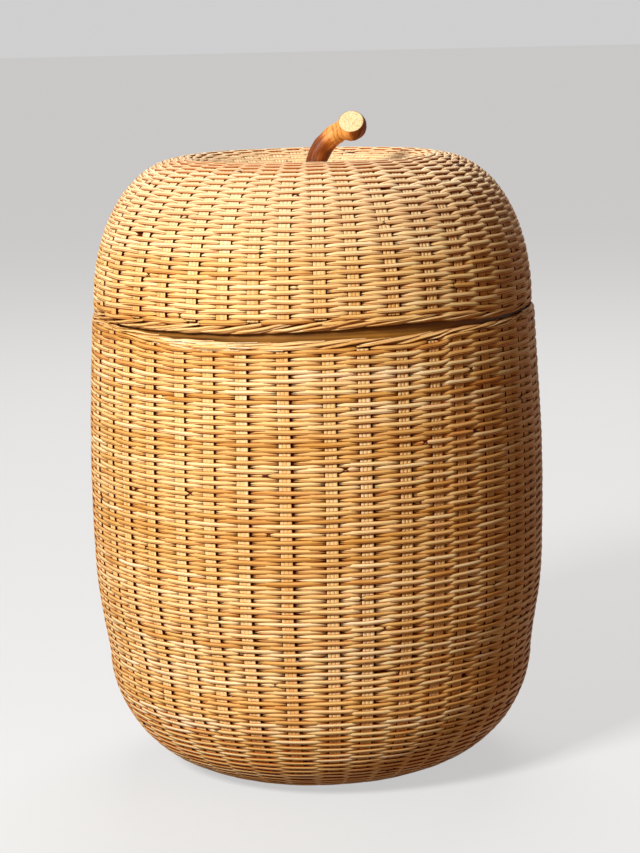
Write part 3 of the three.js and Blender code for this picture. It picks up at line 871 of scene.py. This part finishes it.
def weave(names, node, wall, rise, rows, changes):
    """Rows of weave, in as many bands as there are names."""
    sizes = {
        "All Rows": float(rows), "Steps": 10, "Sides": 8, "Start": 0.0, "Rise": rise, "Growth": 0.0,
        "Fullness": 1.16, "Weaver Thickness": WEAVER_THICKNESS, "Middle Depth": MIDDLE, "Swing": SWING,
        "Lean": LEAN, "Calm From": 2.0, "Row Wobble": 0.0008, "Reed Length": 34.0, "Seed": 3,
    }
    ends = [round(rows * i / len(names)) for i in range(len(names) + 1)]
    for name, first, last in zip(names, ends, ends[1:]):
        band = {"First Row": float(first), "Rows": float(last - first)}
        grow(name, weave_tree, wall, {**sizes, **changes, **band}, weaver_finish, "weaver_cane", node)


def coils(names, node, wall, rise, rows, wobble):
    """Two flat coils on the hub of a disc, the outer one first."""
    for name, side in zip(names, (-1, 1)):
        depth = MIDDLE + side * COIL_APART
        coil = {"Swing": 0.0, "Middle Depth": depth, "Fullness": 1.0, "Row Wobble": wobble}
        weave([name], node, wall, rise, rows, coil)


def stakes_of(name, wall, start, end, canes, widest, seed, *nodes):
    sizes = {
        "Canes": canes, "Points": max(8, int((end - start) / 0.004)), "Sides": 8,
        "Start": start, "End": end, "Stake Width": widest, "Stake Share": STAKE_SHARE,
        "Stake Thickness": STAKE_THICKNESS, "Middle Depth": STAKE_DEPTH, "Seed": seed,
    }
    grow(name, stake_tree, wall, sizes, stake_finish, "stake_cane", *nodes)


def border_of(name, node, wall, root, free, passed, thickness, seed):
    sizes = {
        "Canes": STAKE_CANES, "Points": 30, "Sides": 8, "Root": root, "Free Edge": free,
        "Stakes Passed": passed, "Cane": BORDER_CANE, "Stake Width": STAKE_WIDTH,
        "Middle Depth": STAKE_DEPTH, "Deep": thickness - BORDER_BED, "Step Back": BORDER_STEP, "Seed": seed,
    }
    grow(name, border_tree, wall, sizes, border_finish, "border_cane", node)


def loose_ends(name, node, wall, place, band, fibres, seed, finish, slot):
    """Place is the middle of the ends, their spread and their length, all counted in stakes. Band is how far
    along the line they start at least and at most."""
    around, spread, length = place
    low, high = band
    sizes = {
        "Fibres": fibres, "Points": 8, "Sides": 5, "Around": around, "Spread": spread, "Low": low,
        "High": high, "Length": length, "Slope": 0.0016, "Curl": 0.0016, "Fibre": 0.0013, "Seed": seed,
    }
    grow(name, fray_tree, wall, sizes, finish, slot, node)


body_line, lid_line = body_outline(), lid_outline()
body_length, lid_length = length_of(body_line) - EDGE_ROOM, length_of(lid_line)
body_hand = hand_of(BODY_STAKE_TURN, BODY_SHIFTS, RIM_LIFTS, RIM_LAPS, 4)
lid_hand = hand_of(LID_STAKE_TURN, LID_SHIFTS, LID_LIFTS, LID_LAPS, 9)
body_wall = make_wall("basket", body_line, STAKES, BODY_STAKE_TURN, body_hand, body_length, WANDER, SWELL)
lid_wall = make_wall("lid", lid_line, STAKES, LID_STAKE_TURN, lid_hand, EDGE_ROOM, WANDER, SWELL)

body_top = body_length - BORDER_HEIGHT - WEAVE_GAP
body_rise = body_top * (1 + 1 / BODY_ROWS)
body_bands = ("body_weave_foot", "body_weave_low", "body_weave_middle", "body_weave_high", "body_weave_top")
weave(body_bands, "body_weave", body_wall, body_rise, BODY_ROWS + 1, {"Growth": BODY_GROWTH})
lid_start = EDGE_ROOM + BORDER_HEIGHT + WEAVE_GAP
lid_rise = lid_length - lid_start
lid_row = lid_rise / LID_ROWS
lid_bands = ("lid_weave_dome", "lid_weave_shoulder", "lid_weave_crown")
lid_changes = {"Growth": LID_GROWTH, "Start": lid_start - lid_row, "Calm From": 0.64, "Seed": 11}
weave(lid_bands, "lid_weave", lid_wall, lid_rise + lid_row, LID_ROWS + 1, lid_changes)

stake_nodes = [f"body_stake_{k + 1:02d}" for k in range(STAKES)]
stakes_of("body_stakes", body_wall, 0.0, body_top, STAKE_CANES, STAKE_WIDTH, 5, *stake_nodes)
stakes_of("lid_stakes", lid_wall, lid_start, lid_length, STAKE_CANES, STAKE_WIDTH, 6, "lid_frame")

body_edge = (body_top, body_length, STAKES_PASSED, WALL_THICKNESS)
border_of("body_border_canes", "body_border", body_wall, *body_edge, 8)
lid_edge = (lid_start, EDGE_ROOM, -STAKES_PASSED, LID_BORDER_THICKNESS)
border_of("lid_border_canes", "lid_frame", lid_wall, *lid_edge, 9)

rim_band = (body_top - 0.0002, body_length - 0.0006)
whole_rim = (body_top, body_length)
lid_band = (EDGE_ROOM + 0.0004, lid_start)
frayed = (fibre_finish, "border_cane")
broken = (collar_finish, "collar_cane")
loose_ends("rim_loose_ends", "body_border", body_wall, (-4.0, 2.4, 2.0), rim_band, 38, 21, *frayed)
loose_ends("rim_right_ends", "body_border", body_wall, (7.4, 1.2, 0.55), whole_rim, 10, 22, *frayed)
loose_ends("rim_broken_ends", "body_border", body_wall, (-6.8, 0.8, 0.3), rim_band, 8, 25, *broken)
loose_ends("lid_loose_ends", "lid_frame", lid_wall, (-7.2, 0.7, 0.3), lid_band, 8, 23, *broken)

# Discs in the middle of the base and of the lid
disc = {"Steps": 12, "Reed Length": 40.0}
base_flat, lid_flat = (STICK_ROOM, BODY_STAKE_TURN), (CENTRE_HEIGHT, LID_STAKE_TURN)
base_wall = flat_wall("basket", BASE_HUB, BASE_RADIUS, *base_flat, BASE_WANDER, DISC_SWELL)
base_hub = flat_wall("basket", HUB_HOLE, BASE_HUB, *base_flat)
base_reach, base_coil = BASE_RADIUS - BASE_HUB, BASE_HUB - HUB_HOLE
weave(["base_weave_rows"], "base_weave", base_wall, base_reach, BASE_ROWS, disc)
stakes_of("base_sticks", base_wall, 0.0, base_reach - STICK_SHORT, 2, BASE_STICK, 31, "base_cross")
coils(("base_hub_under", "base_hub_inside"), "base_weave", base_hub, base_coil, rows=4, wobble=0.00015)

centre_wall = flat_wall("lid", LID_CENTRE_RADIUS, LID_HUB, *lid_flat, CENTRE_WANDER, DISC_SWELL)
lid_hub = flat_wall("lid", LID_HUB, STEM_RADIUS + HUB_HOLE, *lid_flat)
centre_reach, lid_coil = LID_CENTRE_RADIUS - LID_HUB, LID_HUB - STEM_RADIUS - HUB_HOLE
weave(["lid_centre_rows"], "lid_centre", centre_wall, centre_reach, LID_CENTRE_ROWS, disc)
stakes_of("lid_sticks", centre_wall, STICK_INSET, centre_reach, 1, LID_STICK, 32, "lid_cross")
coils(("lid_hub_top", "lid_hub_under"), "lid_centre", lid_hub, lid_coil, rows=2, wobble=0.00012)

# Turned, split and whittled pieces


def skin(rings, around=False):
    """Corners and faces over rings of points. Around joins the last ring to the first."""
    corners = [point for ring in rings for point in ring]
    count, sides = len(rings), len(rings[0])
    faces = []
    for i in range(count if around else count - 1):
        here, after = i * sides, (i + 1) % count * sides
        for j in range(sides):
            k = (j + 1) % sides
            faces.append((here + j, here + k, after + k, after + j))
    if not around:
        faces.append(tuple(range(sides)))
        faces.append(tuple(range((count - 1) * sides, count * sides)))
    return corners, faces


def make_piece(name, skins, finish):
    """A smooth piece made of one or more closed skins."""
    form = bmesh.new()
    for corners, faces in skins:
        made = [form.verts.new(corner) for corner in corners]
        for face in faces:
            form.faces.new([made[i] for i in face])
    bmesh.ops.recalc_face_normals(form, faces=form.faces)
    for face in form.faces:
        face.smooth = True
    mesh = bpy.data.meshes.new(name)
    form.to_mesh(mesh)
    form.free()
    mesh.materials.append(finish)
    return new_object(name, mesh)


def rings_along(path, radii, sides):
    """Round rings square to a path, with no twist from one to the next."""
    rings = []
    side = Vector((0.0, 1.0, 0.0))
    for i, (middle, radius) in enumerate(zip(path, radii)):
        ahead = (path[min(i + 1, len(path) - 1)] - path[max(i - 1, 0)]).normalized()
        side = (side - ahead * side.dot(ahead)).normalized()
        third = ahead.cross(side)
        ring = []
        for j in range(sides):
            angle = tau * j / sides
            ring.append(middle + (side * cos(angle) + third * sin(angle)) * radius)
        rings.append(ring)
    return rings


def strip_section(angle, inside, outside, bottom, top, bulge):
    """The section of a flat strip bent round the basket, with soft edges and a slightly round face."""
    soft = min(SOFT_EDGE, (outside - inside) / 2.2)
    spots = [
        (inside, bottom + soft), (inside + soft, bottom), (outside - soft, bottom), (outside, bottom + soft),
        (outside + bulge, (bottom + top) / 2), (outside, top - soft), (outside - soft, top),
        (inside + soft, top), (inside, top - soft), (inside - bulge, (bottom + top) / 2),
    ]
    return [Vector((r * cos(angle), r * sin(angle), z)) for r, z in spots]


def collar_strip(steps=160):
    """One strip bent into a ring, with its thinned ends lapped over each other at the back."""
    bottom, top = BODY_HEIGHT - COLLAR_DEPTH, BODY_HEIGHT + COLLAR_RISE
    inside = COLLAR_RADIUS - COLLAR_THICKNESS
    lap = COLLAR_LAP / COLLAR_RADIUS
    full = COLLAR_THICKNESS - WEAVE_GAP - SCARF_TIP
    rings = []
    for i in range(steps + 1):
        angle = (tau + lap) * i / steps
        low, high = inside, COLLAR_RADIUS
        if angle < lap:
            high = inside + SCARF_TIP + (full - SCARF_TIP) * angle / lap
        elif angle > tau:
            low = COLLAR_RADIUS - full + (full - SCARF_TIP) * (angle - tau) / lap
        bulge = COLLAR_BULGE if lap <= angle <= tau else 0.0
        rings.append(strip_section(angle - FRONT, low, high, bottom, top, bulge))
    return make_piece("collar_strip", [skin(rings)], collar_finish)


def collar_stitches():
    """Thin cane that ties the collar to the wall, in slanting stitches over its inner face."""
    inside = COLLAR_RADIUS - COLLAR_THICKNESS
    bottom = BODY_HEIGHT - COLLAR_DEPTH
    skins = []
    for k in range(STITCHES):
        for slant in (-STITCH_SLANT, STITCH_SLANT):
            angle = tau * (k + 0.5) / STITCHES + FRONT
            spots = []
            for i, (out, rise) in enumerate(STITCH_STOPS):
                turn = angle + slant * (i / (len(STITCH_STOPS) - 1) - 0.5) / inside
                radius = inside + out - (STITCH_CROSSING if slant > 0 else 0.0)
                spots.append((radius * cos(turn), radius * sin(turn), bottom + rise))
            path = smooth_line(spots, steps=3)
            skins.append(skin(rings_along(path, [STITCH_RADIUS] * len(path), sides=6)))
    return make_piece("collar_stitches", skins, border_finish)


set_in_frame(collar_strip(), "basket", "collar_cane", "collar_hoop")
set_in_frame(collar_stitches(), "basket", "border_cane", "collar_hoop")


def stem_path():
    points = [(0.0, 0.0, DIMPLE_FLOOR - STEM_TAIL)]
    for lean, rise in STEM_BENDS:
        points.append((STEM_LEAN * lean, -STEM_FORWARD * lean * lean, DIMPLE_FLOOR + STEM_RISE * rise))
    return smooth_line(points, steps=8)


def stem_head(middle):
    """The swollen end of the twig."""
    form = bmesh.new()
    bmesh.ops.create_uvsphere(form, u_segments=40, v_segments=28, radius=STEM_HEAD_RADIUS)
    corners = [vertex.co + middle for vertex in form.verts]
    faces = [tuple(vertex.index for vertex in face.verts) for face in form.faces]
    form.free()
    return corners, faces


def cut_off(part, middle):
    """Presses what stands past the slanting cut back to it."""
    corners, faces = part
    pressed = []
    for corner in corners:
        past = (corner - middle).dot(STEM_CUT) - STEM_CUT_OFFSET
        pressed.append(corner - STEM_CUT * max(0.0, past))
    return pressed, faces


def make_stem():
    """The twig and its head, melted into one skin and then wrinkled."""
    path = stem_path()
    radii = []
    for i in range(len(path)):
        thinned = max(0.0, i / (len(path) - 1) - STEM_NECK_START) / (1 - STEM_NECK_START)
        radii.append(STEM_RADIUS + (STEM_NECK_RADIUS - STEM_RADIUS) * thinned)
    parts = [skin(rings_along(path, radii, sides=28)), stem_head(path[-1])]
    piece = make_piece("stem_twig", [cut_off(part, path[-1]) for part in parts], bark_finish())
    melt = piece.modifiers.new("melt", "REMESH")
    melt.mode = "VOXEL"
    melt.voxel_size = STEM_SKIN
    even = piece.modifiers.new("even", "SMOOTH")
    even.factor = 0.5
    even.iterations = 4
    mesh = settle(piece)
    shape_bark(mesh, path)
    for face in mesh.polygons:
        face.use_smooth = True
    return piece


def shape_bark(mesh, path):
    """Moves the skin into wrinkles and long ridges, and notes where each point is on the twig."""
    mesh.attributes.new("twig", "FLOAT_VECTOR", "POINT")
    mesh.attributes.new("crease", "FLOAT", "POINT")
    bark, creases = mesh.attributes["twig"], mesh.attributes["crease"]
    fold_middle, fold_reach = STEM_FOLDS
    face_middle = path[-1] + STEM_CUT * STEM_CUT_OFFSET
    face_radius = sqrt(STEM_HEAD_RADIUS**2 - STEM_CUT_OFFSET**2)
    bend_way = (path[-1] - path[len(path) * 4 // 5]).normalized()
    normals = [vertex.normal.copy() for vertex in mesh.vertices]
    for vertex, normal in zip(mesh.vertices, normals):
        spot = vertex.co.copy()
        nearest = min(range(len(path)), key=lambda i: (path[i] - spot).length_squared)
        along = nearest / (len(path) - 1)
        away = spot - path[nearest]
        way = atan2(away.y, away.x)
        from_face = spot - face_middle
        height = from_face.dot(STEM_CUT)
        reach = (from_face - STEM_CUT * height).length / face_radius
        on_cut = max(0.0, min(1.0, 1.0 + height / 0.0006)) * max(0.0, min(1.0, (1.06 - reach) / 0.12))
        long_ridge = noise.noise(Vector((cos(way) * 2.2, sin(way) * 2.2, along * 4.0)))
        ring = spot.dot(bend_way) * 1250 + noise.noise(spot * 150) * 4.0
        neck = max(0.0, 1.0 - abs(along - fold_middle) / fold_reach)
        fold = abs(sin(ring)) * neck
        knob = noise.noise(spot * 260)
        move = long_ridge * BARK_RIDGE + (fold - neck * 0.6) * BARK_FOLD + knob * BARK_KNOB
        vertex.co = spot + normal * move * (1.0 - on_cut * 0.9)
        bark.data[vertex.index].vector = (along, way, on_cut)
        # where the finish paints shade, in the troughs between the wrinkles
        creases.data[vertex.index].value = max(0.0, neck - fold * 2.2) * (1.0 - on_cut)


set_in_frame(make_stem(), "lid", "twig_bark", "stem")


def washer_disc(steps=72):
    inside = STEM_RADIUS + WEAVE_GAP
    bottom = WASHER_TOP - WASHER_THICKNESS
    turns = [tau * i / steps for i in range(steps)]
    rings = [strip_section(turn, inside, WASHER_RADIUS, bottom, WASHER_TOP, 0.0) for turn in turns]
    return make_piece("washer_disc", [skin(rings, around=True)], washer_finish)


def peg_pin(steps=24):
    """A whittled pin, a little thinner at its ends."""
    path, radii = [], []
    for i in range(steps + 1):
        share = 2 * i / steps - 1
        path.append(Vector((share * PEG_LENGTH / 2, 0.0, PEG_HEIGHT)))
        past = max(0.0, abs(share) - (1 - PEG_BLUNT)) / PEG_BLUNT
        radii.append(PEG_RADIUS * (1 - PEG_TAPER * share * share) * sqrt(1 - 0.8 * past**2))
    return make_piece("peg_pin", [skin(rings_along(path, radii, sides=14))], peg_finish)


set_in_frame(washer_disc(), "lid", "collar_cane", "stem_washer")
set_in_frame(peg_pin(), "lid", "peg_wood", "stem_peg")

# Camera
ahead = Vector((0.0, cos(CAMERA_DIP), -sin(CAMERA_DIP)))
level = Vector((1.0, 0.0, 0.0))
upward = level.cross(ahead)
right = level * cos(CAMERA_ROLL) - upward * sin(CAMERA_ROLL)
top = upward * cos(CAMERA_ROLL) + level * sin(CAMERA_ROLL)
turn = Matrix((right, top, -ahead)).transposed().to_4x4()
lens = bpy.data.cameras.new("camera")
lens.sensor_width = SENSOR
lens.lens = LENS_IN_PIXELS / PICTURE_HEIGHT * SENSOR
camera = new_object("camera", lens)
camera.matrix_world = Matrix.Translation(CAMERA_PLACE) @ turn
bpy.context.scene.camera = camera

# Floor and light
WHITE = (1.0, 1.0, 1.0, 1.0)
FLOOR_SIZE = 40.0
FLOOR_COLOUR = linear(222, 222, 220)
FLOOR_BOUNCE = linear(114, 82, 46)  # a duller floor for the light that the basket gets back from it
BACKDROP = 0.84  # brightness of the plain ground that the photograph has
FLOOR_GLOW = 0.65  # share of the seen floor that is this ground, without shadow
SKY_SHARE = 0.745  # of its brightness that the sky needs, to look the same as the floor
SKY_LIGHT = (1.0, 0.56, 0.22, 1.0)
FILL = 0.07  # strength of the light from all round

bpy.ops.mesh.primitive_plane_add(size=FLOOR_SIZE)
floor = bpy.context.object
floor.name = "floor"


def is_seen(sheet):
    """1 for a ray from the camera, also by way of a mirror or through glass, and otherwise 0."""
    ray = sheet.add("ShaderNodeLightPath")
    return (ray + ray.other("Is Glossy Ray") + ray.other("Is Transmission Ray")).clamp()


def pale_floor():
    """A matt floor that is seen paler than its light makes it, with the shadow still on it."""
    material, sheet, shader = new_finish("floor")
    seen = is_seen(sheet)
    sheet.fill(shader, "Base Color", sheet.mix(seen, FLOOR_BOUNCE, FLOOR_COLOUR))
    sheet.fill(shader, "Roughness", 0.8)
    glow = sheet.add("ShaderNodeEmission", {"Color": WHITE, "Strength": BACKDROP})
    plain = Socket(sheet, shader.outputs["BSDF"])
    mixed = sheet.add("ShaderNodeMixShader", {0: seen * FLOOR_GLOW, 1: plain, 2: glow})
    sheet.fill(sheet.tree.nodes["Material Output"], "Surface", mixed)
    return material


floor.data.materials.append(pale_floor())


def soft_lamp(name, place, size, power, colour=(1.0, 1.0, 1.0)):
    """A square lamp that looks at the middle of the basket."""
    lamp = bpy.data.lights.new(name, "AREA")
    lamp.color = colour
    lamp.size = size
    lamp.energy = power
    holder = new_object(name, lamp)
    holder.location = place
    holder.rotation_euler = (MIDDLE_OF_BASKET - Vector(place)).to_track_quat("-Z", "Y").to_euler()


MIDDLE_OF_BASKET = Vector((0.0, 0.0, 0.16))
soft_lamp("key_lamp", (-0.93, -1.28, 1.14), size=0.4, power=49.5)
soft_lamp("back_lamp", (0.1, 1.2, 1.6), size=1.2, power=20.0)
soft_lamp("side_lamp", (1.6, -0.5, 0.5), size=1.0, power=0.8, colour=(1.0, 0.34, 0.1))
world = bpy.data.worlds.new("surroundings")
world.use_nodes = True
sky = Sheet(world.node_tree)
background = world.node_tree.nodes["Background"]
seen_sky = is_seen(sky)
sky.fill(background, "Color", sky.mix(seen_sky, SKY_LIGHT, WHITE))
sky.fill(background, "Strength", seen_sky * (BACKDROP * SKY_SHARE - FILL) + FILL)
bpy.context.scene.world = world
bpy.context.scene.view_settings.view_transform = "Standard"
